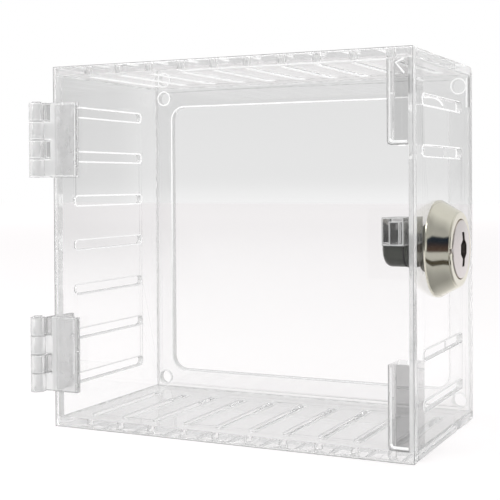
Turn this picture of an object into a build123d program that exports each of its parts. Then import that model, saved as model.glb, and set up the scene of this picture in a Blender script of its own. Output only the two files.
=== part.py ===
from build123d import *
import math
import os

os.makedirs("parts", exist_ok=True)

# Clear lock box that goes over a wall thermostat: a five-sided case bonded from acrylic sheet,
# a hinged front door, and a cam lock through the right side.
# Millimetres. X to the right, Y into the wall, Z up, seen from the front.
# Origin: middle of the wall screw pattern, on the rear face of the case.

# ---------------------------------------------------------------- driving dimensions

# Case
case_width = 152.0
case_height = 145.0
case_depth = 77.0            # wall plane to the outer face of the door
wall = 3.6                   # sheet of the top and the bottom
side_wall = 2.6              # sheet of the left and right sides
back_thickness = 3.0
edge_break = 0.4             # polished chamfer on the free edges of the sheet

# Door
door_thickness = 3.0
door_gap = 0.4               # door to the front edges of the case

# Back frame
window_margin = 8.7          # width of the frame inside the four sides
window_corner = 6.0
screw_inset = 4.3            # wall screw to the two nearest inner faces
screw_hole_radius = 2.8

# Vent slots, all running front to back
slot_width = 3.5
slot_corner = 1.5
slot_front_setback = 12.5    # door face to the slots
slot_rear_setback = 15.5     # wall plane to the slots
side_slot_pitch = 18.3
side_slot_margin = 13.0      # least distance from an inner corner to a slot's middle
top_slot_pitch = 14.4
top_slot_margin = 8.5

# Corner blocks that stiffen the front of the lock side and stop the door
block_width = 8.0
block_depth = 10.5
block_height = 30.5
block_round = 1.0

# Hinges
hinge_length = 30.0
hinge_margin = 14.6          # end of a hinge to the top or bottom of the case
leaf_width = 12.4            # from the corner of the box
leaf_thickness = 2.6
leaf_relief = 0.4            # leaf to the neighbouring edge that moves past it
leaf_chamfer = 0.5
barrel_stand = 1.6           # barrel to the two outer faces it stands in front of
hinge_barrel_radius = 3.0
hinge_pin_radius = 1.1
hinge_pin_clearance = 0.06
hinge_pin_head_radius = 1.9
hinge_pin_head = 0.6
knuckle_count = 4
knuckle_gap = 0.3

# Lock: place and housing
lock_setback = 29.0          # door face to the axis of the lock
lock_rise = 0.7              # axis above the middle of the case
barrel_radius = 8.9
barrel_flat = 8.3            # axis to the two flats that stop it turning in the wall
barrel_clearance = 0.15
barrel_spare = 1.8           # barrel left standing behind the nut
flange_thickness = 1.5
washer_thickness = 0.6
washer_rim = 0.8
nut_thickness = 2.2
nut_rim = 1.0
nut_notch = 1.8
thread_clearance = 0.05
tooth_count = 12

# Lock: bezel
bezel_radius = 18.0
bezel_rim = 1.0
bezel_height = 8.6
bezel_floor = 2.5
ring_radius = 13.8
ring_height = 0.7
ring_step = 0.3
index_width = 1.6
index_depth = 0.5

# Lock: plug
face_radius = 10.7
face_clearance = 0.4
face_edge = 8.9              # wall face to the rim of the plug's face
face_dome = 0.9
shank_radius = 6.4
running_clearance = 0.06
axial_play = 0.15
tail_radius = 3.8
tail_flat = 2.8
keyway_width = 2.8
keyway_height = 10.4
keyhole_height = 12.6
keyhole_belly_width = 7.6
keyhole_belly_height = 9.0
keyhole_belly_flat = 3.4     # height of the widest part of the belly
keyhole_depth = 2.8
shutter_thickness = 0.8
shutter_clearance = 0.1
wafer_count = 4
wafer_pitch = 1.6
wafer_thickness = 0.7
wafer_width = 4.9
wafer_clearance = 0.15
wafer_window_height = 6.6
wafer_channel = 1.3          # depth of the locking channel above and below the shank

# Lock: hook cam, its cap and screw
cam_thickness = 2.0
cam_hub_radius = 6.4
hook_arm_width = 5.6
hook_toe_width = 3.5
hook_toe_height = 6.2        # axis level to the tip of the toe
hook_clearance = 0.6
cap_radius = 7.0
cap_length = 10.4
cap_round = 2.6
screw_radius = 2.0
screw_length = 12.3
screw_head_radius = 3.7
screw_head = 1.9
screw_slot = 1.0
screw_slot_depth = 0.9
spring_washer = 0.6
spring_washer_split = 0.7

# Catch on the door, which the hook enters from below
catch_width = 8.1
catch_height = 10.0
catch_front_web = 2.7        # left in front of the pocket, next to the door
catch_side_play = 0.45       # pocket to each side of the cam
catch_play = 0.5             # pocket to the toe when the door is shut
catch_lift = 2.3             # catch above the axis of the lock
catch_roof = 2.0

# ---------------------------------------------------------------- places worked out from them

inner_width = case_width - 2 * side_wall
inner_height = case_height - 2 * wall
door_front_y = -case_depth
door_back_y = door_front_y + door_thickness
case_front_y = door_back_y + door_gap
side_depth = -case_front_y
side_mid_y = case_front_y / 2

slot_length = case_depth - slot_front_setback - slot_rear_setback
slot_mid_y = (slot_front_setback - case_depth - slot_rear_setback) / 2
side_slot_count = int((inner_height - 2 * side_slot_margin) / side_slot_pitch) + 1
top_slot_count = int((inner_width - 2 * top_slot_margin) / top_slot_pitch) + 1
side_slot_heights = [
    (row - (side_slot_count - 1) / 2) * side_slot_pitch for row in range(side_slot_count)
]

lock_x = case_width / 2
lock_y = door_front_y + lock_setback
lock_z = lock_rise
bezel_reach = bezel_radius + slot_width
lock_side_slot_heights = [z for z in side_slot_heights if abs(z - lock_z) > bezel_reach]

barrel_end = -(side_wall + washer_thickness + nut_thickness + barrel_spare)
shank_end = barrel_end - axial_play
cam_end = shank_end - cam_thickness
cap_end = cam_end - cap_length
tail_end = cam_end - cam_thickness
screw_end = cap_end + screw_head + screw_length
flange_face = bezel_floor + flange_thickness
face_back = flange_face + axial_play
face_bore_radius = face_radius + face_clearance

# The hook: how far in front of the axis its pocket ends, then the toe that swings inside it
door_reach = lock_y - door_back_y
pocket_front = door_reach - catch_front_web
hook_swing = pocket_front - hook_clearance
hook_tip = math.sqrt(hook_swing**2 - hook_toe_height**2)
pocket_rear = hook_tip - hook_toe_width - catch_play
nut_radius = barrel_radius + nut_rim
catch_depth = door_reach - nut_radius - hook_clearance
cam_mid_x = lock_x + (shank_end + cam_end) / 2

hinge_offset = hinge_barrel_radius + barrel_stand
hinge_x = -case_width / 2 - hinge_offset
hinge_y = door_front_y - hinge_offset
knuckle_pitch = hinge_length / knuckle_count
knuckle_length = knuckle_pitch - knuckle_gap


def lock_section(distance: float) -> Plane:
    """A plane across the lock, the given distance out from the right side: x is Y, y is Z."""
    return Plane(origin=(lock_x + distance, lock_y, lock_z), x_dir=(0, 1, 0), z_dir=(1, 0, 0))


# A plane along the lock, for turned profiles: x runs outwards on the axis, y is the radius.
lock_profile = Plane(origin=(lock_x, lock_y, lock_z), x_dir=(1, 0, 0), z_dir=(0, -1, 0))
lock_axis = Axis((lock_x, lock_y, lock_z), (1, 0, 0))

# ---------------------------------------------------------------- case

# Top and bottom run the full width, with a row of front-to-back slots.
with BuildPart() as top_panel:
    with BuildSketch(Plane.XY.offset(case_height / 2 - wall)):
        with Locations((0, side_mid_y)):
            Rectangle(case_width, side_depth)
        with Locations((0, slot_mid_y)):
            with GridLocations(top_slot_pitch, 0, top_slot_count, 1):
                RectangleRounded(slot_width, slot_length, slot_corner, mode=Mode.SUBTRACT)
    extrude(amount=wall)
    chamfer(top_panel.faces().sort_by(Axis.Z)[-1].outer_wire().edges(), edge_break)
top_panel.part.label = "top_panel"
export_step(top_panel.part, "parts/top_panel.step")

with BuildPart() as bottom_panel:
    with BuildSketch(Plane.XY.offset(-case_height / 2)):
        with Locations((0, side_mid_y)):
            Rectangle(case_width, side_depth)
        with Locations((0, slot_mid_y)):
            with GridLocations(top_slot_pitch, 0, top_slot_count, 1):
                RectangleRounded(slot_width, slot_length, slot_corner, mode=Mode.SUBTRACT)
    extrude(amount=wall)
    chamfer(bottom_panel.faces().sort_by(Axis.Z)[0].outer_wire().edges(), edge_break)
bottom_panel.part.label = "bottom_panel"
export_step(bottom_panel.part, "parts/bottom_panel.step")

# The two sides stand between them.
with BuildPart() as left_panel:
    with BuildSketch(Plane.YZ.offset(-case_width / 2)):
        with Locations((side_mid_y, 0)):
            Rectangle(side_depth, inner_height)
        with Locations([(slot_mid_y, z) for z in side_slot_heights]):
            RectangleRounded(slot_length, slot_width, slot_corner, mode=Mode.SUBTRACT)
    extrude(amount=side_wall)
left_panel.part.label = "left_panel"
export_step(left_panel.part, "parts/left_panel.step")

# The lock side keeps only the slots that clear the bezel, and has the lock's flatted hole.
with BuildPart() as right_panel:
    with BuildSketch(Plane.YZ.offset(case_width / 2 - side_wall)):
        with Locations((side_mid_y, 0)):
            Rectangle(side_depth, inner_height)
        with Locations([(slot_mid_y, z) for z in lock_side_slot_heights]):
            RectangleRounded(slot_length, slot_width, slot_corner, mode=Mode.SUBTRACT)
    extrude(amount=side_wall)
    with BuildSketch(lock_section(-side_wall)):
        Circle(barrel_radius + barrel_clearance)
        Rectangle(
            2 * (barrel_flat + barrel_clearance),
            2 * (barrel_radius + barrel_clearance),
            mode=Mode.INTERSECT,
        )
    extrude(amount=side_wall, mode=Mode.SUBTRACT)
right_panel.part.label = "right_panel"
export_step(right_panel.part, "parts/right_panel.step")

# The back is an open frame inside the four sides, screwed to the wall through its corners.
with BuildPart() as back_panel:
    with BuildSketch(Plane.XZ):
        Rectangle(inner_width, inner_height)
        RectangleRounded(
            inner_width - 2 * window_margin,
            inner_height - 2 * window_margin,
            window_corner,
            mode=Mode.SUBTRACT,
        )
    extrude(amount=back_thickness)
    with Locations(Plane.XZ.offset(back_thickness)):
        with GridLocations(inner_width - 2 * screw_inset, inner_height - 2 * screw_inset, 2, 2):
            Hole(screw_hole_radius)
back_panel.part.label = "back_panel"
export_step(back_panel.part, "parts/back_panel.step")

# One block in each front corner of the lock side, flush with the front edges.
for block_name, block_low_z, free_end in (
    ("upper_stop_block", inner_height / 2 - block_height, 0),
    ("lower_stop_block", -inner_height / 2, -1),
):
    with BuildPart() as stop_block:
        with BuildSketch(Plane.XY.offset(block_low_z)):
            with Locations((inner_width / 2 - block_width / 2, case_front_y + block_depth / 2)):
                Rectangle(block_width, block_depth)
        extrude(amount=block_height)
        free_side = stop_block.faces().sort_by(Axis.X)[0]
        free_edges = free_side.edges().filter_by(Axis.Z)
        free_edges += [free_side.edges().filter_by(Axis.Y).sort_by(Axis.Z)[free_end]]
        fillet(free_edges, block_round)
    stop_block.part.label = block_name
    export_step(stop_block.part, f"parts/{block_name}.step")

# ---------------------------------------------------------------- door

with BuildPart() as door_panel:
    with BuildSketch(Plane.XZ.offset(-door_back_y)):
        Rectangle(case_width, case_height)
    extrude(amount=door_thickness)
    chamfer(door_panel.faces().sort_by(Axis.Y)[0].outer_wire().edges(), edge_break)
door_panel.part.label = "door_panel"
export_step(door_panel.part, "parts/door_panel.step")

# A block bonded behind the door, in front of the lock. The hook rises into its pocket.
with BuildPart() as door_catch:
    with BuildSketch(Plane.XY.offset(lock_z + catch_lift)):
        with Locations((cam_mid_x, door_back_y + catch_depth / 2)):
            Rectangle(catch_width, catch_depth)
    extrude(amount=catch_height)
    with BuildSketch(Plane.XY.offset(lock_z + catch_lift)):
        with Locations((cam_mid_x, lock_y - (pocket_front + pocket_rear) / 2)):
            Rectangle(cam_thickness + 2 * catch_side_play, pocket_front - pocket_rear)
    extrude(amount=catch_height - catch_roof, mode=Mode.SUBTRACT)
    chamfer(door_catch.faces().sort_by(Axis.Y)[-1].outer_wire().edges(), edge_break)
door_catch.part.label = "door_catch"
export_step(door_catch.part, "parts/door_catch.step")

# ---------------------------------------------------------------- hinges

# Each hinge has a leaf on the door's face and one on the case's left side. Counted from the
# bottom, the even knuckles belong to the door leaf and the odd ones to the wall leaf.
for hinge_name, hinge_low_z in (
    ("upper_hinge", case_height / 2 - hinge_margin - hinge_length),
    ("lower_hinge", -case_height / 2 + hinge_margin),
):
    knuckle_bases = [
        hinge_low_z + row * knuckle_pitch + knuckle_gap / 2 for row in range(knuckle_count)
    ]

    with BuildPart() as door_leaf:
        plate_left_x = -case_width / 2 + leaf_relief
        plate_right_x = -case_width / 2 + leaf_width
        plate_mid_y = door_front_y - leaf_thickness / 2
        with BuildSketch(Plane.XY.offset(hinge_low_z)):
            with Locations(((plate_left_x + plate_right_x) / 2, plate_mid_y)):
                Rectangle(plate_right_x - plate_left_x, leaf_thickness)
        extrude(amount=hinge_length)
        chamfer(
            door_leaf.edges().group_by(Axis.Y)[0].sort_by(Axis.X)[1:], leaf_chamfer
        )
        for knuckle_base in knuckle_bases[0::2]:
            with BuildSketch(Plane.XY.offset(knuckle_base)):
                with Locations(((hinge_x + plate_left_x) / 2, plate_mid_y)):
                    Rectangle(plate_left_x - hinge_x, leaf_thickness)
                with Locations((hinge_x, hinge_y)):
                    Circle(hinge_barrel_radius)
            extrude(amount=knuckle_length)
        with BuildSketch(Plane.XY.offset(hinge_low_z)):
            with Locations((hinge_x, hinge_y)):
                Circle(hinge_pin_radius + hinge_pin_clearance)
        extrude(amount=hinge_length, mode=Mode.SUBTRACT)
    door_leaf.part.label = f"{hinge_name}_door_leaf"
    export_step(door_leaf.part, f"parts/{hinge_name}_door_leaf.step")

    with BuildPart() as wall_leaf:
        plate_front_y = case_front_y
        plate_rear_y = door_front_y + leaf_width
        plate_mid_x = -case_width / 2 - leaf_thickness / 2
        web_thickness = leaf_thickness - leaf_relief
        web_mid_x = -case_width / 2 - leaf_relief - web_thickness / 2
        with BuildSketch(Plane.XY.offset(hinge_low_z)):
            with Locations((plate_mid_x, (plate_front_y + plate_rear_y) / 2)):
                Rectangle(leaf_thickness, plate_rear_y - plate_front_y)
        extrude(amount=hinge_length)
        chamfer(
            wall_leaf.edges().group_by(Axis.X)[0].sort_by(Axis.Y)[1:], leaf_chamfer
        )
        for knuckle_base in knuckle_bases[1::2]:
            with BuildSketch(Plane.XY.offset(knuckle_base)):
                with Locations((web_mid_x, (hinge_y + plate_front_y) / 2)):
                    Rectangle(web_thickness, plate_front_y - hinge_y)
                with Locations((hinge_x, hinge_y)):
                    Circle(hinge_barrel_radius)
            extrude(amount=knuckle_length)
        with BuildSketch(Plane.XY.offset(hinge_low_z)):
            with Locations((hinge_x, hinge_y)):
                Circle(hinge_pin_radius + hinge_pin_clearance)
        extrude(amount=hinge_length, mode=Mode.SUBTRACT)
    wall_leaf.part.label = f"{hinge_name}_wall_leaf"
    export_step(wall_leaf.part, f"parts/{hinge_name}_wall_leaf.step")

    # The pin hangs by its head on the top knuckle, which is the wall leaf's.
    with BuildPart() as hinge_pin:
        with BuildSketch(Plane.XY.offset(hinge_low_z)):
            with Locations((hinge_x, hinge_y)):
                Circle(hinge_pin_radius)
        extrude(amount=hinge_length)
        with BuildSketch(Plane.XY.offset(knuckle_bases[-1] + knuckle_length)):
            with Locations((hinge_x, hinge_y)):
                Circle(hinge_pin_head_radius)
        extrude(amount=hinge_pin_head)
        fillet(hinge_pin.edges().sort_by(Axis.Z)[-1], hinge_pin_head / 2)
    hinge_pin.part.label = f"{hinge_name}_pin"
    export_step(hinge_pin.part, f"parts/{hinge_name}_pin.step")

# ---------------------------------------------------------------- lock, the still parts

# Conical bezel: a thin rim on the side of the case, the cone, and a ring round the plug's face.
with BuildPart() as lock_bezel:
    with BuildSketch(lock_profile):
        with BuildLine():
            Polyline(
                (0, barrel_radius + thread_clearance),
                (0, bezel_radius),
                (bezel_rim, bezel_radius),
                (bezel_height - ring_height, ring_radius + ring_step),
                (bezel_height - ring_height, ring_radius),
                (bezel_height - ring_step, ring_radius),
                (bezel_height, ring_radius - ring_step),
                (bezel_height, face_bore_radius),
                (bezel_floor, face_bore_radius),
                (bezel_floor, barrel_radius + thread_clearance),
                close=True,
            )
        make_face()
    revolve(axis=lock_axis)
    # a small index notch across the ring, on the side of the door
    with BuildSketch(lock_section(bezel_height - index_depth)):
        with Locations((-(face_bore_radius + ring_radius + ring_step) / 2, 0)):
            Rectangle(ring_radius + 3 * ring_step - face_bore_radius, index_width)
    extrude(amount=2 * index_depth, mode=Mode.SUBTRACT)
lock_bezel.part.label = "lock_bezel"
export_step(lock_bezel.part, "parts/lock_bezel.step")

# Housing: flange under the plug's face, flatted barrel through the side, bore with two
# locking channels for the wafers.
with BuildPart() as lock_housing:
    with BuildSketch(lock_section(barrel_end)):
        Circle(barrel_radius)
        Rectangle(2 * barrel_flat, 2 * barrel_radius, mode=Mode.INTERSECT)
    extrude(amount=bezel_floor - barrel_end)
    chamfer(lock_housing.faces().sort_by(Axis.X)[0].outer_wire().edges(), edge_break)
    with BuildSketch(lock_section(bezel_floor)):
        Circle(face_bore_radius - thread_clearance)
    extrude(amount=flange_thickness)
    with BuildSketch(lock_section(barrel_end)):
        Circle(shank_radius + running_clearance)
    extrude(amount=flange_face - barrel_end, mode=Mode.SUBTRACT)
    with BuildSketch(lock_section(barrel_end + edge_break)):
        Rectangle(wafer_width + 2 * wafer_clearance, 2 * (shank_radius + wafer_channel))
    extrude(amount=bezel_floor - barrel_end - 2 * edge_break, mode=Mode.SUBTRACT)
lock_housing.part.label = "lock_housing"
export_step(lock_housing.part, "parts/lock_housing.step")

# Toothed washer and notched ring nut, which clamp the side between them and the bezel.
with BuildPart() as lock_washer:
    with BuildSketch(lock_section(-side_wall - washer_thickness)):
        Circle(barrel_radius + washer_rim)
        with PolarLocations(barrel_radius + washer_rim, tooth_count):
            Rectangle(washer_rim, washer_rim, mode=Mode.SUBTRACT)
        Circle(barrel_radius + thread_clearance, mode=Mode.SUBTRACT)
    extrude(amount=washer_thickness)
lock_washer.part.label = "lock_washer"
export_step(lock_washer.part, "parts/lock_washer.step")

with BuildPart() as lock_nut:
    with BuildSketch(lock_section(-side_wall - washer_thickness - nut_thickness)):
        Circle(nut_radius)
        with PolarLocations(nut_radius, 4, start_angle=45):
            Rectangle(nut_rim, nut_notch, mode=Mode.SUBTRACT)
        Circle(barrel_radius + thread_clearance, mode=Mode.SUBTRACT)
    extrude(amount=nut_thickness)
lock_nut.part.label = "lock_nut"
export_step(lock_nut.part, "parts/lock_nut.step")

# ---------------------------------------------------------------- lock, the parts that turn

wafer_centres = [
    bezel_floor - 2 * edge_break - (row + 0.5) * wafer_pitch for row in range(wafer_count)
]

# Keyhole: a tall slot with a six-sided belly
belly_corners = [
    (-keyhole_belly_width / 2, -keyhole_belly_flat / 2),
    (0, -keyhole_belly_height / 2),
    (keyhole_belly_width / 2, -keyhole_belly_flat / 2),
    (keyhole_belly_width / 2, keyhole_belly_flat / 2),
    (0, keyhole_belly_height / 2),
    (-keyhole_belly_width / 2, keyhole_belly_flat / 2),
]

# Plug: domed face with the keyhole, shank with the keyway and wafer chambers, flatted tail.
with BuildPart() as lock_plug:
    with BuildSketch(lock_profile):
        with BuildLine():
            Polyline(
                (face_edge + face_dome, 0),
                (tail_end, 0),
                (tail_end, tail_radius),
                (shank_end, tail_radius),
                (shank_end, shank_radius),
                (face_back, shank_radius),
                (face_back, face_radius),
                (face_edge, face_radius),
            )
            ThreePointArc(
                (face_edge, face_radius),
                (face_edge + 0.75 * face_dome, face_radius / 2),
                (face_edge + face_dome, 0),
            )
        make_face()
    revolve(axis=lock_axis)
    # flats on the tail, above and below the axis
    with BuildSketch(lock_section(shank_end)):
        with GridLocations(0, tail_flat + tail_radius, 1, 2):
            Rectangle(2 * tail_radius, tail_radius - tail_flat)
    extrude(amount=tail_end - shank_end, mode=Mode.SUBTRACT)
    # keyhole
    with BuildSketch(lock_section(face_edge + face_dome)):
        Rectangle(keyway_width, keyhole_height)
        Polygon(*belly_corners)
    extrude(amount=-keyhole_depth - face_dome, mode=Mode.SUBTRACT)
    with BuildSketch(lock_section(face_edge)):
        Rectangle(keyway_width, keyway_height)
    extrude(amount=wafer_centres[-1] - wafer_pitch / 2 - face_edge, mode=Mode.SUBTRACT)
    # chambers for the wafers
    for centre in wafer_centres:
        with BuildSketch(lock_section(centre - wafer_thickness / 2)):
            Rectangle(wafer_width + wafer_clearance, 2 * shank_radius)
        extrude(amount=wafer_thickness + wafer_clearance, mode=Mode.SUBTRACT)
    # hole for the cam screw
    with BuildSketch(lock_section(tail_end)):
        Circle(screw_radius + thread_clearance)
    extrude(amount=screw_end + axial_play - tail_end, mode=Mode.SUBTRACT)
lock_plug.part.label = "lock_plug"
export_step(lock_plug.part, "parts/lock_plug.step")

# Dark shutter at the bottom of the keyhole.
with BuildPart() as dust_shutter:
    with BuildSketch(lock_section(face_edge - keyhole_depth)):
        Rectangle(keyway_width, keyhole_height)
        Polygon(*belly_corners)
        offset(amount=-shutter_clearance)
    extrude(amount=shutter_thickness)
dust_shutter.part.label = "dust_shutter"
export_step(dust_shutter.part, "parts/dust_shutter.step")

# Wafers, one solid each, drawn in the position that a key lifts them to.
with BuildPart() as lock_wafers:
    wafer_height = 2 * math.sqrt((shank_radius - wafer_clearance) ** 2 - (wafer_width / 2) ** 2)
    for centre in wafer_centres:
        with BuildSketch(lock_section(centre - wafer_thickness / 2)):
            Rectangle(wafer_width, wafer_height)
            Rectangle(keyway_width + wafer_clearance, wafer_window_height, mode=Mode.SUBTRACT)
        extrude(amount=wafer_thickness)
lock_wafers.part.label = "lock_wafers"
export_step(lock_wafers.part, "parts/lock_wafers.step")

# Hook cam, drawn unlocked: the arm points to the wall, and the toe hangs down from its end.
with BuildPart() as lock_cam:
    arm_top = hook_toe_height
    arm_bottom = hook_toe_height - hook_arm_width
    with BuildSketch(lock_section(cam_end)):
        Circle(cam_hub_radius)
        with Locations((hook_tip / 2, (arm_top + arm_bottom) / 2)):
            Rectangle(hook_tip, hook_arm_width)
        with Locations((hook_tip - hook_toe_width / 2, 0)):
            Rectangle(hook_toe_width, 2 * hook_toe_height)
    extrude(amount=cam_thickness)
    with BuildSketch(lock_section(cam_end)):
        Circle(tail_radius + thread_clearance)
        Rectangle(
            2 * (tail_radius + thread_clearance),
            2 * (tail_flat + thread_clearance),
            mode=Mode.INTERSECT,
        )
    extrude(amount=cam_thickness, mode=Mode.SUBTRACT)
lock_cam.part.label = "lock_cam"
export_step(lock_cam.part, "parts/lock_cam.step")

# Round cap that clamps the cam on the tail, with a counterbore for the screw's head.
with BuildPart() as cam_cap:
    with BuildSketch(lock_section(cap_end)):
        Circle(cap_radius)
    extrude(amount=cap_length)
    fillet(cam_cap.edges().group_by(Axis.X)[0], cap_round)
    with BuildSketch(lock_section(tail_end)):
        Circle(tail_radius + thread_clearance)
    extrude(amount=cam_thickness, mode=Mode.SUBTRACT)
    with BuildSketch(lock_section(cap_end)):
        Circle(screw_radius + running_clearance)
    extrude(amount=cap_length, mode=Mode.SUBTRACT)
    with BuildSketch(lock_section(cap_end)):
        Circle(screw_head_radius + wafer_clearance)
    extrude(amount=screw_head + spring_washer, mode=Mode.SUBTRACT)
cam_cap.part.label = "cam_cap"
export_step(cam_cap.part, "parts/cam_cap.step")

# Split spring washer under the head of the cam screw.
with BuildPart() as cam_spring_washer:
    with BuildSketch(lock_section(cap_end + screw_head)):
        Circle(screw_head_radius)
        Circle(screw_radius + running_clearance, mode=Mode.SUBTRACT)
        with Locations((0, screw_head_radius / 2)):
            Rectangle(spring_washer_split, screw_head_radius, mode=Mode.SUBTRACT)
    extrude(amount=spring_washer)
cam_spring_washer.part.label = "cam_spring_washer"
export_step(cam_spring_washer.part, "parts/cam_spring_washer.step")

with BuildPart() as cam_screw:
    with BuildSketch(lock_section(cap_end)):
        Circle(screw_head_radius)
    extrude(amount=screw_head)
    with BuildSketch(lock_section(cap_end + screw_head)):
        Circle(screw_radius)
    extrude(amount=screw_length)
    with BuildSketch(lock_section(cap_end)):
        Rectangle(screw_slot, 2 * screw_head_radius)
    extrude(amount=screw_slot_depth, mode=Mode.SUBTRACT)
cam_screw.part.label = "cam_screw"
export_step(cam_screw.part, "parts/cam_screw.step")
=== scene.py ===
"""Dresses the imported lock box: clear acrylic, clear hinges and a nickel cam lock, in a plain pale studio."""

import logging
import math
from collections.abc import Callable
from dataclasses import dataclass, field
from enum import Enum

import bmesh
import bpy
from mathutils import Matrix, Vector

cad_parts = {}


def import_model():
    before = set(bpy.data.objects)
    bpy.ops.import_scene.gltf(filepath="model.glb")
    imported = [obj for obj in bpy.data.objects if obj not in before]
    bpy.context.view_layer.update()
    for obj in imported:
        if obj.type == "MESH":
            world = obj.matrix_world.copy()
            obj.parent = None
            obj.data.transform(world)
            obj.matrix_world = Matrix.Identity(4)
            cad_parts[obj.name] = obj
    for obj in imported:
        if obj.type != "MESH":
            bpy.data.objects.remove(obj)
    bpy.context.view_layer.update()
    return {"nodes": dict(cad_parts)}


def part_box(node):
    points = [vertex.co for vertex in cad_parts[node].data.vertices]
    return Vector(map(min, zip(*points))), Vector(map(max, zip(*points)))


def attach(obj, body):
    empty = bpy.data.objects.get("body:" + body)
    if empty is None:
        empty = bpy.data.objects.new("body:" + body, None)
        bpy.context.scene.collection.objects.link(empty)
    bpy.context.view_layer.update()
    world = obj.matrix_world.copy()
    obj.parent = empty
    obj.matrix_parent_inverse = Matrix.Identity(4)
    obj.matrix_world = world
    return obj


LOG = logging.getLogger("lock_box")
MM = 0.001

SHARP_EDGE = math.radians(35.0)  # faces that meet at more than this make a sharp edge
BROAD_FACE = 0.9  # cosine above which a face counts as looking along a direction
SAME_WAY = 0.95  # cosine above which two normals count as one
SAME_PLACE = 0.001 * MM  # distance below which the ends of a line count as one
MESH_WELD = 0.002 * MM  # distance below which corners are joined where a part is dressed
RIM_WELD = 0.004 * MM  # and where its edges are traced
LEAST_DEPTH = 0.01  # keeps a share of the depth finite beside and before the object
LIGHT_BOUNCES = 64

Colour = tuple[float, float, float]
Place = tuple[float, float, float]
Pair = tuple[float, float]
Stops = tuple[Pair, ...]
Socket = bpy.types.NodeSocket
Material = bpy.types.Material
Chain = list[Vector]
Nodes = dict[str, bpy.types.Object]

WHOLE: Pair = (0.0, 1.0)
EVEN: Stops = ((0.0, 1.0), (1.0, 1.0))
NO_GLOW: Stops = ((0.0, 0.0), (1.0, 0.0))
WHITE: Colour = (1.0, 1.0, 1.0)


def grey(level: float) -> Colour:
    """Gives a plain grey."""
    return (level, level, level)


def case_span() -> Pair:
    """Gives the heights of the foot and the head of the case."""
    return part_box("bottom_panel")[0][2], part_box("top_panel")[1][2]


def rectangle(low: Pair, high: Pair) -> list[Pair]:
    """Gives the corners of a rectangle, from the lower left one round."""
    return [(low[0], low[1]), (high[0], low[1]), (high[0], high[1]), (low[0], high[1])]


# ---------------------------------------------------------------- finishes


class Facing(Enum):
    """The way that the broad faces of a sheet look, in the row frame."""

    SIDEWAYS = (1.0, 0.0, 0.0)
    FRONT = (0.0, -1.0, 0.0)
    UPRIGHT = (0.0, 0.0, 1.0)


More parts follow.
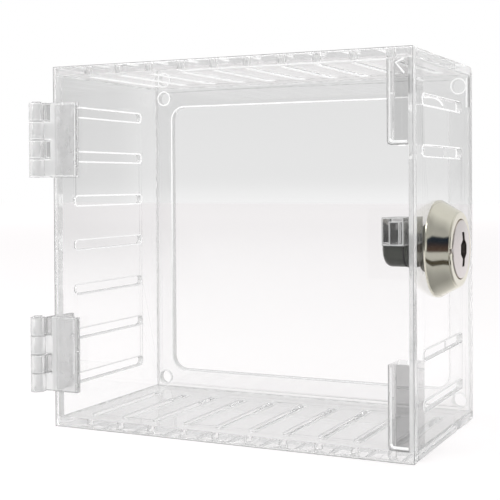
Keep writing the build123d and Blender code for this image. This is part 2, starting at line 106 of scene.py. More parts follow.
class NodeSheet:
    """The node tree of a material or a world, written with short calls."""

    def __init__(self, owner: Material | bpy.types.World) -> None:
        """Starts an empty tree.

        Args:
            owner: What the tree belongs to.
        """
        self.owner = owner
        owner.use_nodes = True
        self.tree = owner.node_tree
        self.tree.nodes.clear()

    @classmethod
    def material(cls, name: str) -> "NodeSheet":
        """Starts the tree of a new material."""
        return cls(bpy.data.materials.new(name))

    def add(self, kind: str, inputs: dict | None = None, **settings: object) -> bpy.types.Node:
        """Adds a node.

        Args:
            kind: Blender's name of the node type, without "ShaderNode".
            inputs: Values or output sockets by input name or number.
            **settings: The node's own properties.

        Returns:
            The node.
        """
        node = self.tree.nodes.new("ShaderNode" + kind)
        for key, value in settings.items():
            setattr(node, key, value)
        for key, value in (inputs or {}).items():
            if isinstance(value, Socket):
                self.tree.links.new(value, node.inputs[key])
            elif hasattr(value, "__len__") and len(value) == 3 and node.inputs[key].type == "RGBA":
                node.inputs[key].default_value = (*value, 1.0)
            else:
                node.inputs[key].default_value = value
        return node

    def math(self, operation: str, *values: object) -> Socket:
        """Adds a maths node and gives its result."""
        return self.add("Math", dict(enumerate(values)), operation=operation).outputs[0]

    def place(self, kind: str = "Object") -> Socket:
        """Gives one of the texture coordinates."""
        return self.add("TexCoord").outputs[kind]

    def axes(self, kind: str = "Object") -> bpy.types.bpy_prop_collection:
        """Gives a texture coordinate as the three sockets X, Y and Z."""
        return self.add("SeparateXYZ", {0: self.place(kind)}).outputs

    def noise(self, scale: float, detail: float = 2.0, roughness: float = 0.5) -> Socket:
        """Adds noise in the piece's own coordinates and gives its value."""
        inputs = {"Vector": self.place(), "Scale": scale, "Detail": detail, "Roughness": roughness}
        return self.add("TexNoise", inputs).outputs[0]

    def between(self, value: Socket, start: Pair, end: Pair = WHOLE) -> Socket:
        """Maps a value from one range to another, and clamps.

        Args:
            value: The value that is mapped.
            start: The range that it comes from.
            end: The range that it goes to.

        Returns:
            The mapped value.
        """
        inputs = {"Value": value, "From Min": start[0], "From Max": start[1]}
        inputs |= {"To Min": end[0], "To Max": end[1]}
        return self.add("MapRange", inputs).outputs[0]

    def ramp(self, share: Socket, stops: Stops) -> Socket:
        """Gives a grey that follows a share through a row of stops.

        Args:
            share: The value that is followed, 0 to 1.
            stops: Places and levels, in rising order of place.

        Returns:
            The colour socket.
        """
        node = self.add("ValToRGB", {0: share})
        node.color_ramp.interpolation = "EASE"
        elements = node.color_ramp.elements
        while len(elements) < len(stops):
            elements.new(0.5)
        for element, (at, level) in zip(elements, stops):
            element.position = at
            element.color = (*grey(level), 1.0)
        return node.outputs[0]

    def case_height(self) -> Socket:
        """Gives 0 at the foot of the case and 1 at its head."""
        return self.between(self.axes()["Z"], case_span())

    def along(self, facing: Facing) -> Socket:
        """Gives how far a face looks along a direction, from -1 to 1."""
        inputs = {0: self.place("Normal"), 1: facing.value}
        return self.add("VectorMath", inputs, operation="DOT_PRODUCT").outputs["Value"]

    def leftward(self, axes: bpy.types.bpy_prop_collection) -> Socket:
        """Gives how far left a place or a direction lies, as a share of how far back it lies."""
        back = self.math("MAXIMUM", axes["Y"], LEAST_DEPTH)
        return self.math("DIVIDE", self.math("MULTIPLY", axes["X"], -1.0), back)

    def scaled(self, colour: Socket, factor: Socket | float) -> Socket:
        """Multiplies a colour by a number."""
        return self.add("VectorMath", {0: colour, "Scale": factor}, operation="SCALE").outputs[0]

    def mix(self, share: object, first: object, second: object) -> Socket:
        """Mixes two colours, each a socket or a plain colour, by a share."""
        return self.add("Mix", {0: share, 6: first, 7: second}, data_type="RGBA").outputs[2]

    def blend(self, share: Socket | float, first: Socket, second: Socket) -> Socket:
        """Mixes two shaders by a share."""
        return self.add("MixShader", {0: share, 1: first, 2: second}).outputs[0]

    def clear(self, tint: Colour = WHITE) -> Socket:
        """Gives a shader that light passes straight through."""
        return self.add("BsdfTransparent", {"Color": tint}).outputs[0]

    def bump(self, height: Socket, strength: float, distance: float) -> Socket:
        """Adds a bump node and gives its normal."""
        inputs = {"Height": height, "Strength": strength, "Distance": distance}
        return self.add("Bump", inputs).outputs[0]

    def rays(self, *kinds: str) -> Socket:
        """Tells rays of some kinds from all others.

        Args:
            *kinds: Blender's names of the kinds, without "Is" and "Ray".

        Returns:
            1 for a ray of any of these kinds and 0 for others.
        """
        path = self.add("LightPath")
        found = path.outputs[f"Is {kinds[0]} Ray"]
        for kind in kinds[1:]:
            found = self.math("MAXIMUM", found, path.outputs[f"Is {kind} Ray"])
        return found

    def finish(self, surface: Socket) -> Material | bpy.types.World:
        """Connects the surface to an output.

        Args:
            surface: The shader of the whole tree.

        Returns:
            The owner of the tree.
        """
        kind = "OutputWorld" if isinstance(self.owner, bpy.types.World) else "OutputMaterial"
        self.add(kind, {"Surface": surface})
        return self.owner


@dataclass(frozen=True)
class ClearAcrylic:
    """Clear sheet: polished broad faces, and cut edges that scatter a little light."""

    node: str
    facing: Facing
    tint: float = 0.965
    # Painted shade: the grey of the broad faces, changed with the height of the case.
    shade: Stops = EVEN
    edge_tint: float = 0.90
    edge_clear: float = 0.55
    edge_roughness: float = 0.12
    # Painted light: an emission of the cut edges that changes with the height of the case.
    painted_edge_glow: Stops = NO_GLOW
    one_face: bool = False
    bonded: Facing | None = None
    polish: Pair = (0.005, 0.016)
    haze: float = 90.0
    ripple: float = 28.0
    ripple_strength: float = 0.05
    ripple_depth: float = 0.4 * MM
    ior: float = 1.49

    def material(self) -> Material:
        """Builds the material: it bends what the eye sees, and lets shadows and soft light straight through.

        Returns:
            The material. The face that is bonded to a neighbour, if there is one, is left open.
        """
        sheet = NodeSheet.material(f"acrylic_{self.node}")
        through = sheet.clear(grey(self.tint**0.5))
        solid = sheet.blend(sheet.rays("Shadow", "Diffuse"), self.glass(sheet), through)
        if self.bonded is None:
            return sheet.finish(solid)
        cemented = sheet.math("GREATER_THAN", sheet.along(self.bonded), BROAD_FACE)
        return sheet.finish(sheet.blend(cemented, solid, sheet.clear()))

    def glass(self, sheet: NodeSheet) -> Socket:
        """Builds the shader that bends light.

        Args:
            sheet: The material's nodes.

        Returns:
            The shader.
        """
        cut = self.cut_share(sheet)
        height = sheet.case_height()
        # Painted shade: the broad faces' grey follows the height of the case.
        broad = sheet.scaled(sheet.ramp(height, self.shade), self.tint)
        polish = sheet.between(sheet.noise(self.haze, detail=4.0, roughness=0.6), WHOLE, self.polish)
        ripple = sheet.noise(self.ripple, detail=1.0)
        inputs = {
            "Base Color": sheet.mix(cut, broad, grey(self.edge_tint)),
            "Roughness": sheet.add("Mix", {0: cut, 2: polish, 3: self.edge_roughness}).outputs[0],
            "IOR": self.ior,
            "Transmission Weight": self.clearness(sheet, cut),
            "Normal": sheet.bump(ripple, self.ripple_strength, self.ripple_depth),
        }
        # Painted light: the cut edges glow by height.
        if self.painted_edge_glow != NO_GLOW:
            inputs["Emission Color"] = WHITE
            inputs["Emission Strength"] = sheet.math("MULTIPLY", sheet.ramp(height, self.painted_edge_glow), cut)
        return sheet.add("BsdfPrincipled", inputs).outputs[0]

    def clearness(self, sheet: NodeSheet, cut: Socket) -> Socket | float:
        """Gives the share of light that passes: a plain number where the edges are as clear as the faces."""
        return 1.0 if self.edge_clear == 1.0 else sheet.between(cut, WHOLE, (1.0, self.edge_clear))

    def cut_share(self, sheet: NodeSheet) -> Socket:
        """Tells the cut edges from the broad faces, or from the one that looks along facing.

        Args:
            sheet: The material's nodes.

        Returns:
            1 on a cut edge and 0 elsewhere.
        """
        along = sheet.along(self.facing)
        if not self.one_face:
            along = sheet.math("ABSOLUTE", along)
        return sheet.math("LESS_THAN", along, BROAD_FACE)


@dataclass(frozen=True)
class MouldedPlastic:
    """Clear moulded plastic that scatters part of the light, so that it looks a soft uneven grey, with painted
    shade across it.
    """

    name: str
    # Painted shade: the grey of the milky part along x over the span.
    across: Stops
    span: Pair = (-85.0 * MM, -60.0 * MM)
    tint: float = 0.93
    roughness: Pair = (0.091, 0.169)
    milk: float = 0.30
    milk_roughness: float = 0.4
    cloud: float = 160.0
    fleck: Colour = (1.0, 0.99, 0.995)
    fleck_band: Pair = (0.4, 0.6)
    fleck_share: Pair = (0.0, 0.35)
    ior: float = 1.49

    def material(self) -> Material:
        """Builds the material.

        Returns:
            The material.
        """
        sheet = NodeSheet.material(self.name)
        cloud = sheet.noise(self.cloud, detail=3.0, roughness=0.6)
        glass = sheet.add("BsdfPrincipled", {
            "Base Color": grey(self.tint),
            "Roughness": sheet.between(cloud, WHOLE, self.roughness),
            "IOR": self.ior,
            "Transmission Weight": 1.0,
        })
        # Painted shade across the part.
        body = sheet.ramp(sheet.between(sheet.axes()["X"], self.span), self.across)
        flecks = sheet.between(cloud, self.fleck_band, self.fleck_share)
        milky = sheet.add("BsdfPrincipled", {
            "Base Color": sheet.mix(flecks, body, self.fleck),
            "Roughness": self.milk_roughness,
        })
        solid = sheet.blend(self.milk, glass.outputs[0], milky.outputs[0])
        return sheet.finish(sheet.blend(sheet.rays("Shadow", "Diffuse"), solid, sheet.clear(grey(self.tint))))


@dataclass(frozen=True)
class PaintedLightBead:
    """A rounded bead just inside an edge, for painted light: a painted highlight where it is white and glows,
    a painted shade line where it is dark.
    """

    name: str
    white: float = 0.92
    # Painted light: the bead's emission, from one level to another over the glow heights.
    glow: Pair = (0.15, 0.62)
    clear: float = 0.12
    grain: float = 420.0
    spread: float = 0.06
    roughness: float = 0.45
    glow_heights: Pair = (-20.0 * MM, 20.0 * MM)
    fleck_band: Pair = (0.35, 0.65)
    # Painted glints: the glow is scaled by noise between these levels.
    sparkle_band: Pair = (0.3, 0.7)
    sparkle: Pair = (0.8, 1.1)
    relief: float = 0.2
    relief_depth: float = 0.05 * MM

    def material(self) -> Material:
        """Builds the material, whose painted glow goes from one level to another over the glow heights.

        Returns:
            The material.
        """
        sheet = NodeSheet.material(self.name)
        cloud = sheet.noise(self.grain, detail=3.0, roughness=0.6)
        flecks = sheet.between(cloud, self.fleck_band)
        colour = sheet.mix(flecks, grey(self.white), grey(self.white - self.spread))
        glow = sheet.between(sheet.axes()["Z"], self.glow_heights, self.glow)
        sparkle = sheet.between(cloud, self.sparkle_band, self.sparkle)
        painted_line = sheet.add("BsdfPrincipled", {
            "Base Color": colour,
            "Roughness": self.roughness,
            "Emission Color": colour,
            "Emission Strength": sheet.math("MULTIPLY", glow, sparkle),
            "Normal": sheet.bump(cloud, self.relief, self.relief_depth),
        })
        open_share = sheet.math("MAXIMUM", sheet.rays("Shadow", "Diffuse"), self.clear)
        return sheet.finish(sheet.blend(open_share, painted_line.outputs[0], sheet.clear()))


@dataclass(frozen=True)
class Metal:
    """A plated or cast metal with fine grain."""

    name: str
    colour: Colour
    second: Colour
    roughness: float
    grain: float = 3600.0
    relief: float = 0.1
    metallic: float = 1.0
    specular: float = 0.5
    cloud: float = 260.0
    roughness_spread: Pair = (0.8, 1.3)
    relief_depth: float = 0.03 * MM

    def material(self) -> Material:
        """Builds the material.

        Returns:
            The material.
        """
        sheet = NodeSheet.material(self.name)
        fine = sheet.noise(self.grain)
        low, high = (self.roughness * share for share in self.roughness_spread)
        metal = sheet.add("BsdfPrincipled", {
            "Base Color": sheet.mix(sheet.noise(self.cloud, detail=3.0), self.colour, self.second),
            "Roughness": sheet.between(fine, WHOLE, (low, high)),
            "Normal": sheet.bump(fine, self.relief, self.relief_depth),
            "Metallic": self.metallic,
            "Specular IOR Level": self.specular,
        })
        return sheet.finish(metal.outputs[0])


# ---------------------------------------------------------------- studio


@dataclass(frozen=True)
class PaleFloor:
    """A white floor that keeps the shadow of the object, a little whiter where it is far away."""

    name: str = "pale_floor"
    albedo: float = 0.8
    grain: float = 40.0
    grain_spread: float = 0.01
    far: Pair = (0.3, 2.5)
    own_white: Pair = (0.33, 0.52)
    through_acrylic: Pair = (0.34, 0.42)
    white: Colour = (1.0, 0.95, 0.96)
    ahead: Pair = (0.05, -0.05)
    # Painted shadow in reflections: the floor is darker within this reach of the case.
    mirror_reach: Pair = (0.12, 0.20)
    mirrored: Pair = (0.50, 0.78)
    left_bearing: Pair = (0.62, 0.82)
    left_reach: Pair = (0.4, 1.3)
    left_shade: float = 0.12

    def material(self) -> Material:
        """Builds the material: a floor that is lit, and whiter to the eye than to the object.

        Returns:
            The material.
        """
        sheet = NodeSheet.material(self.name)
        axes = sheet.axes()
        reach = sheet.add("VectorMath", {0: sheet.place()}, operation="LENGTH").outputs["Value"]
        ahead = sheet.between(axes["Y"], self.ahead)
        by_metal = sheet.math("GREATER_THAN", sheet.rays("Glossy"), sheet.rays("Transmission"))
        by_metal = sheet.math("MULTIPLY", by_metal, ahead)
        pale = sheet.mix(sheet.noise(self.grain), grey(self.albedo), grey(self.albedo + self.grain_spread))
        # Painted shadow: darker near the case, seen only in reflections.
        levels = tuple((at, self.albedo * level) for at, level in enumerate(self.mirrored))
        mirrored = sheet.ramp(sheet.between(reach, self.mirror_reach), levels)
        lit = sheet.add("BsdfDiffuse", {"Color": sheet.mix(by_metal, pale, mirrored)})

        seen = sheet.math("MULTIPLY", sheet.rays("Camera"), sheet.between(reach, self.far, self.own_white))
        shade = sheet.math("MULTIPLY",
                           sheet.between(sheet.leftward(axes), self.left_bearing, (0, self.left_shade)),
                           sheet.between(reach, self.left_reach))
        behind = sheet.math("SUBTRACT", sheet.between(reach, self.far, self.through_acrylic), shade)
        onward = sheet.math("SUBTRACT", sheet.rays("Transmission", "Glossy"), by_metal)
        strength = sheet.math("ADD", seen, sheet.math("MULTIPLY", onward, behind))
        white = sheet.add("Emission", {"Color": self.white, "Strength": strength})
        return sheet.finish(sheet.add("AddShader", {0: lit.outputs[0], 1: white.outputs[0]}).outputs[0])


@dataclass(frozen=True)
class PaleRoom:
    """The world: white to the eye, a pale backdrop through acrylic, and a duller ceiling for metal."""

    light: float = 0.62
    backdrop: Stops = ((0.0, 0.95), (0.488, 0.95), (0.5035, 0.83), (0.54, 0.81), (1.0, 0.8))
    left_bearing: Pair = (0.48, 0.78)
    left_side: Stops = ((0.0, 1.0), (0.5, 1.0), (0.72, 0.885), (1.0, 0.80))
    ceiling: Stops = ((0.0, 0.8), (0.55, 0.95), (0.7, 0.50), (0.85, 0.43), (1.0, 0.40))
    to_front: Pair = (0.15, -0.35)
    to_camera: Pair = (0.1, -0.4)
    behind_camera: float = 0.4

    def build(self) -> None:
        """Builds the world and gives it to the scene."""
        world = bpy.data.worlds.new("studio")
        bpy.context.scene.world = world
        sheet = NodeSheet(world)
        axes = sheet.axes("Generated")
        rise = sheet.between(axes["Z"], (-1, 1))
        left_side = sheet.ramp(sheet.between(sheet.leftward(axes), self.left_bearing), self.left_side)
        sides = {0: sheet.ramp(rise, self.backdrop), 1: left_side}
        backdrop = sheet.add("VectorMath", sides, operation="MULTIPLY").outputs[0]
        ceiling = sheet.ramp(rise, self.ceiling)
        mirrored = sheet.mix(sheet.between(axes["Y"], self.to_front), backdrop, ceiling)
        dimmed = sheet.scaled(backdrop, sheet.between(axes["Y"], self.to_camera, (1.0, self.behind_camera)))
        colour = sheet.mix(sheet.rays("Glossy"), grey(self.light), mirrored)
        colour = sheet.mix(sheet.rays("Transmission"), colour, dimmed)
        colour = sheet.mix(sheet.rays("Camera"), colour, WHITE)
        sheet.finish(sheet.add("Background", {"Color": colour}).outputs[0])


@dataclass(frozen=True)
class BackingPaper:
    """Paper that shows only its front, in a white that turns grey higher up."""

    name: str = "backing_paper"
    turn: Pair = (4.0 * MM, 24.0 * MM)
    foot: Colour = (0.98, 0.965, 0.97)
    head: float = 0.73

    def material(self) -> Material:
        """Builds the material.

        Returns:
            The material.
        """
        sheet = NodeSheet.material(self.name)
        pale = sheet.mix(sheet.between(sheet.axes()["Z"], self.turn), self.foot, grey(self.head))
        paper = sheet.add("Emission", {"Color": pale}).outputs[0]
        behind = sheet.add("NewGeometry").outputs["Backfacing"]
        return sheet.finish(sheet.blend(behind, paper, sheet.clear()))


@dataclass(frozen=True)
class CardFelt:
    """The dark cloth of a studio card, from one shade at its foot to another at its top."""

    name: str
    foot: Colour
    top: Colour
    rise: Pair = (0.2, 0.7)
    nap: float = 9.0
    nap_share: float = 0.1

    def material(self) -> Material:
        """Builds the material.

        Returns:
            The material.
        """
        sheet = NodeSheet.material(self.name)
        nap = sheet.math("MULTIPLY", sheet.noise(self.nap), self.nap_share)
        share = sheet.math("ADD", sheet.between(sheet.axes("Generated")["Y"], self.rise), nap)
        colour = sheet.mix(share, self.foot, self.top)
        return sheet.finish(sheet.add("Emission", {"Color": colour}).outputs[0])


@dataclass(frozen=True)
class StudioSheet:
    """One flat sheet of the studio."""

    name: str
    corners: list
    finish: Material
    hidden_from: tuple[str, ...] = ()

    def set_up(self) -> bpy.types.Object:
        """Makes the sheet.

        Returns:
            Its object.
        """
        mesh = bpy.data.meshes.new(self.name)
        mesh.from_pydata(self.corners, [], [(0, 1, 2, 3)])
        mesh.materials.append(self.finish)
        sheet = bpy.data.objects.new(self.name, mesh)
        for kind in self.hidden_from:
            setattr(sheet, f"visible_{kind}", False)
        bpy.context.scene.collection.objects.link(sheet)
        LOG.info("set up %s", self.name)
        return sheet


@dataclass(frozen=True)
class MirrorCard:
    """A dark card that only mirrors see: the middle of its lower edge, its two directions and its size."""

    name: str
    foot: Vector
    across: Vector
    up: Vector
    size: Pair
    felt: CardFelt

    def stand(self) -> None:
        """Stands the card in its place."""
        half, height = self.size[0] / 2, self.size[1]
        corners = [(x, y, 0.0) for x, y in rectangle((-half, 0.0), (half, height))]
        hidden_from = ("camera", "diffuse", "transmission", "shadow", "volume_scatter")
        card = StudioSheet(self.name, corners, self.felt.material(), hidden_from).set_up()
        turn = Matrix((self.across, self.up, self.across.cross(self.up))).transposed()
        card.matrix_world = Matrix.Translation(self.foot) @ turn.to_4x4()


@dataclass(frozen=True)
class SoftLamp:
    """A square soft lamp that looks at the middle of the object."""

    name: str
    place: Place
    size: float
    power: float
    mirrored: bool

    def hang(self) -> None:
        """Hangs the lamp in its place."""
        data = bpy.data.lights.new(self.name, "AREA")
        data.size = self.size
        data.energy = self.power
        lamp = bpy.data.objects.new(self.name, data)
        lamp.location = self.place
        lamp.rotation_euler = (-Vector(self.place)).to_track_quat("-Z", "Y").to_euler()
        lamp.visible_glossy = self.mirrored
        bpy.context.scene.collection.objects.link(lamp)


@dataclass
class Studio:
    """Floor, soft lights, the pale surroundings, the cards and the camera."""

    camera_place: Place = (0.1895, -0.42157, 0.0255)
    camera_turn: Place = (0.576, -0.306, -24.022)
    focal_pixels: float = 1048.3
    frame_pixels: float = 500.0
    principal: Pair = (307.1, 192.8)
    sensor: float = 36.0
    nearest: float = 0.01
    floor_size: float = 8.0
    floor_gap: float = 0.1 * MM
    card_gap: float = 0.8 * MM
    card_bearing: Place = (0.745, -0.66, 0.0)
    tall_card_reach: float = 0.78
    tall_card_size: Pair = (1.1, 0.50)
    low_card_reach: float = 0.11
    low_card_size: Pair = (0.5, 0.064)
    flag_foot: Place = (-0.1155, -0.6, -0.060)
    flag_size: Pair = (0.046, 0.062)
    backing_rim: float = 2.0 * MM
    backing_gap: float = 0.3 * MM
    lamps: tuple[SoftLamp, ...] = (
        SoftLamp("key", (-0.7, -0.9, 1.1), 0.9, 9.0, True),
        SoftLamp("fill", (1.2, -0.6, 0.5), 0.7, 3.0, False),
    )

    def build(self) -> None:
        """Builds the whole studio."""
        self.build_camera()
        PaleRoom().build()
        self.build_floor()
        self.build_cards()
        self.build_backing()
        for lamp in self.lamps:
            lamp.hang()

    def build_camera(self) -> None:
        """Sets the camera at the viewing angle of the object."""
        roll, pitch, yaw = (math.radians(angle) for angle in self.camera_turn)
        tilt = Matrix.Rotation(pitch, 3, "Y") @ Matrix.Rotation(roll, 3, "X") @ Matrix.Rotation(yaw, 3, "Z")
        right, forward, up = tilt
        data = bpy.data.cameras.new("camera")
        data.sensor_width = self.sensor
        data.lens = self.focal_pixels / self.frame_pixels * self.sensor
        data.shift_x = (self.frame_pixels / 2 - self.principal[0]) / self.frame_pixels
        data.shift_y = (self.principal[1] - self.frame_pixels / 2) / self.frame_pixels
        data.clip_start = self.nearest
        camera = bpy.data.objects.new("camera", data)
        turn = Matrix((right, up, -forward)).transposed()
        camera.matrix_world = Matrix.Translation(self.camera_place) @ turn.to_4x4()
        bpy.context.scene.collection.objects.link(camera)
        bpy.context.scene.camera = camera

    def floor_height(self) -> float:
        """Gives the height of the floor, just under the case."""
        return case_span()[0] - self.floor_gap

    def build_floor(self) -> None:
        """Lays the floor under the case."""
        half = self.floor_size / 2
        corners = [(x, y, 0.0) for x, y in rectangle((-half, -half), (half, half))]
        floor = StudioSheet("floor", corners, PaleFloor().material()).set_up()
        floor.location.z = self.floor_height()

    def build_cards(self) -> None:
        """Stands two cards for the lock's metal, and a flag for the door in front of the catch."""
        low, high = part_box("lock_bezel")
        foot = Vector((low[0], (low[1] + high[1]) / 2, self.floor_height() + self.card_gap))
        towards = Vector(self.card_bearing).normalized()
        upright = Vector(Facing.UPRIGHT.value)
        across = towards.cross(upright)
        tall_felt = CardFelt("tall_felt", (0.085, 0.055, 0.045), (0.012, 0.02, 0.035))
        low_felt = CardFelt("low_felt", (0.06, 0.052, 0.035), (0.063, 0.054, 0.036))
        flag_felt = CardFelt("flag_felt", (0.012, 0.012, 0.012), (0.01, 0.01, 0.01))
        tall_foot = foot + towards * self.tall_card_reach
        low_foot = foot + towards * self.low_card_reach
        for card in (
            MirrorCard("tall_card", tall_foot, across, upright, self.tall_card_size, tall_felt),
            MirrorCard("low_card", low_foot, across, towards, self.low_card_size, low_felt),
            MirrorCard("door_flag", Vector(self.flag_foot), Vector(Facing.SIDEWAYS.value), upright,
                       self.flag_size, flag_felt),
        ):
            card.stand()

    def build_backing(self) -> None:
        """Hangs a pale sheet just behind the case, which shows only from the front through open slots."""
        low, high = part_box("back_panel")
        depth = high[1] + self.backing_gap
        rim = self.backing_rim
        outline = rectangle((low[0] + rim, low[2] + rim), (high[0] - rim, high[2] - rim))
        hidden_from = ("glossy", "diffuse", "transmission", "shadow", "volume_scatter")
        corners = [(x, depth, z) for x, z in outline]
        StudioSheet("backing", corners, BackingPaper().material(), hidden_from).set_up()


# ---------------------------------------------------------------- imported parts


def dress_part(part: bpy.types.Object, finish: Material, eased: float, drawn_in: float = 0.0) -> None:
    """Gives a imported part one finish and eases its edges, with modifiers that leave its mesh as it is.

    Args:
        part: The part's object.
        finish: Its material.
        eased: The width of the eased edges.
        drawn_in: How far its faces are drawn in, so that bonded parts don't share a plane.
    """
    part.data.materials.clear()
    part.data.materials.append(finish)
    weld = part.modifiers.new("weld", "WELD")
    weld.merge_threshold = MESH_WELD
    if drawn_in:
        shrink = part.modifiers.new("seam_gap", "DISPLACE")
        shrink.mid_level = 0.0
        shrink.strength = -drawn_in
    ease = part.modifiers.new("eased_edges", "BEVEL")
    ease.width = eased
    ease.segments = 2
    ease.limit_method = "ANGLE"
    ease.angle_limit = SHARP_EDGE
    LOG.info("dressed %s", part.name)


@dataclass
class AcrylicShell:
    """Every clear CAD part: its edges are eased a little, and each gets the finish of its sheet."""

    nodes: Nodes
    # Painted shade of the lock's side by height: darker at the foot and in the upper part.
    lock_side_shade: Stops = (
        (0.0, 0.92), (0.10, 0.935), (0.20, 0.985), (0.42, 0.985), (0.6, 0.865), (0.72, 0.88), (1.0, 0.90),
    )
    # Painted glow of the door's cut edges: brighter at the foot and in the upper part.
    door_painted_glow: Stops = ((0.0, 0.10), (0.1, 0.03), (0.5, 0.03), (0.62, 0.13), (1.0, 0.13))
    block_edge_roughness: float = 0.02
    # Painted shade across each hinge piece: the door leaf darker where it lies over the door, the wall leaf
    # dark from the recess beside its knuckles onward.
    hinge_shades: tuple[tuple[str, Stops], ...] = (
        ("door_leaf", ((0.0, 0.97), (0.46, 0.97), (0.50, 0.67), (1.0, 0.66))),
        ("wall_leaf", ((0.0, 0.97), (0.28, 0.97), (0.31, 0.16), (0.36, 0.16))),
        ("pin", ((0.0, 0.85), (1.0, 0.85))),
    )
    seam_gap: float = 0.015 * MM
    eased: float = 0.18 * MM

    def sheets(self) -> tuple[ClearAcrylic, ...]:
        """Lists the finishes of the flat sheets.

        Returns:
            One finish for each of the six.
        """
        upright, sideways, front = Facing.UPRIGHT, Facing.SIDEWAYS, Facing.FRONT
        slotted = {"edge_clear": 0.92, "edge_roughness": 0.04}
        return (
            # The tints differ from sheet to sheet as painted shade; the acrylic is the same in all six.
            ClearAcrylic("top_panel", upright, tint=0.92, edge_tint=0.91, **slotted),
            ClearAcrylic("bottom_panel", upright, tint=0.93, edge_tint=0.96, **slotted),
            ClearAcrylic("left_panel", sideways, tint=1.0, edge_tint=0.84, edge_clear=0.5),
            ClearAcrylic("right_panel", sideways, tint=1.0, shade=self.lock_side_shade, edge_tint=0.88,
                         edge_clear=0.6, edge_roughness=0.08),
            ClearAcrylic("back_panel", front, tint=0.945, edge_clear=0.3),
            ClearAcrylic("door_panel", front, edge_clear=0.8, painted_edge_glow=self.door_painted_glow),
        )

    def blocks(self) -> tuple[ClearAcrylic, ...]:
        """Lists the finishes of the blocks, whose front face alone is grey, a painted shade.

        Returns:
            One finish for each of the three.
        """
        shared = {"one_face": True, "edge_roughness": self.block_edge_roughness}
        bonded = {"edge_tint": 1.0, "edge_clear": 1.0, "bonded": Facing.SIDEWAYS}
        return (
            # The two stop blocks are alike, so their different greys are painted shade, and so is the dark
            # grey of the catch's cut faces.
            ClearAcrylic("upper_stop_block", Facing.FRONT, tint=0.74, **bonded, **shared),
            ClearAcrylic("lower_stop_block", Facing.FRONT, tint=0.47, **bonded, **shared),
            ClearAcrylic("door_catch", Facing.FRONT, tint=0.50, edge_tint=0.24, edge_clear=0.6, **shared),
        )

    def dress(self) -> None:
        """Gives every clear part its finish."""
        for look in self.sheets() + self.blocks():
            dress_part(self.nodes[look.node], look.material(), self.eased, self.seam_gap)
        for piece, across in self.hinge_shades:
            plastic = MouldedPlastic(f"hinge_plastic_{piece}", across).material()
            for side in ("upper", "lower"):
                dress_part(self.nodes[f"{side}_hinge_{piece}"], plastic, self.eased, self.seam_gap)


@dataclass
class CamLock:
    """The metal parts of the lock."""

    nodes: Nodes
    eased: float = 0.12 * MM

    def finishes(self) -> tuple[tuple[Metal, tuple[str, ...]], ...]:
        """Lists the metals.

        Returns:
            Each metal with the nodes that are made of it.
        """
        return (
            (Metal("satin_nickel", (0.73, 0.705, 0.60), (0.79, 0.765, 0.66), 0.12), ("lock_bezel",)),
            (Metal("bright_nickel", (0.66, 0.61, 0.60), (0.70, 0.66, 0.65), 0.2), ("lock_plug",)),
            (Metal("dark_zinc", (0.055, 0.055, 0.052), (0.085, 0.085, 0.08), 0.28),
             ("lock_housing", "lock_nut", "lock_cam")),
            (Metal("cap_zinc", (0.034, 0.036, 0.031), (0.062, 0.066, 0.056), 0.32, grain=2000.0, relief=0.4),
             ("cam_cap",)),
            (Metal("zinc_steel", (0.5, 0.5, 0.49), (0.58, 0.58, 0.57), 0.25),
             ("lock_washer", "cam_spring_washer", "cam_screw")),
            (Metal("wafer_brass", (0.6, 0.45, 0.2), (0.65, 0.5, 0.25), 0.3), ("lock_wafers",)),
            (Metal("shutter_black", (0.02, 0.018, 0.016), (0.03, 0.027, 0.025), 0.5), ("dust_shutter",)),
        )

    def dress(self) -> None:
        """Gives the lock's parts their finishes."""
        for metal, names in self.finishes():
            finish = metal.material()
            for name in names:
                dress_part(self.nodes[name], finish, self.eased)


# ---------------------------------------------------------------- own pieces


@dataclass
class Bead:
    """Round beads along lines."""

    name: str
    chains: list[Chain]
    radius: float

    def lay(self, finish: Material, body: str, slot: str = "clear_acrylic") -> None:
        """Makes the piece.

        Args:
            finish: Its material.
            body: The body that it moves with.
            slot: Not used.
        """
        curve = bpy.data.curves.new(self.name, "CURVE")
        curve.dimensions = "3D"
        curve.bevel_depth = self.radius
        curve.bevel_resolution = 2
        curve.use_fill_caps = True
        for chain in self.chains:
            closed = (chain[0] - chain[-1]).length < SAME_PLACE
            points = chain[:-1] if closed else chain
            spline = curve.splines.new("POLY")
            spline.points.add(len(points) - 1)
            for point, place in zip(spline.points, points):
                point.co = (*place, 1.0)
            spline.use_cyclic_u = closed
        piece = bpy.data.objects.new(self.name, curve)
        bpy.context.scene.collection.objects.link(piece)
        curve.materials.append(finish)
        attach(piece, body)
        LOG.info("built %s with %d beads", self.name, len(self.chains))


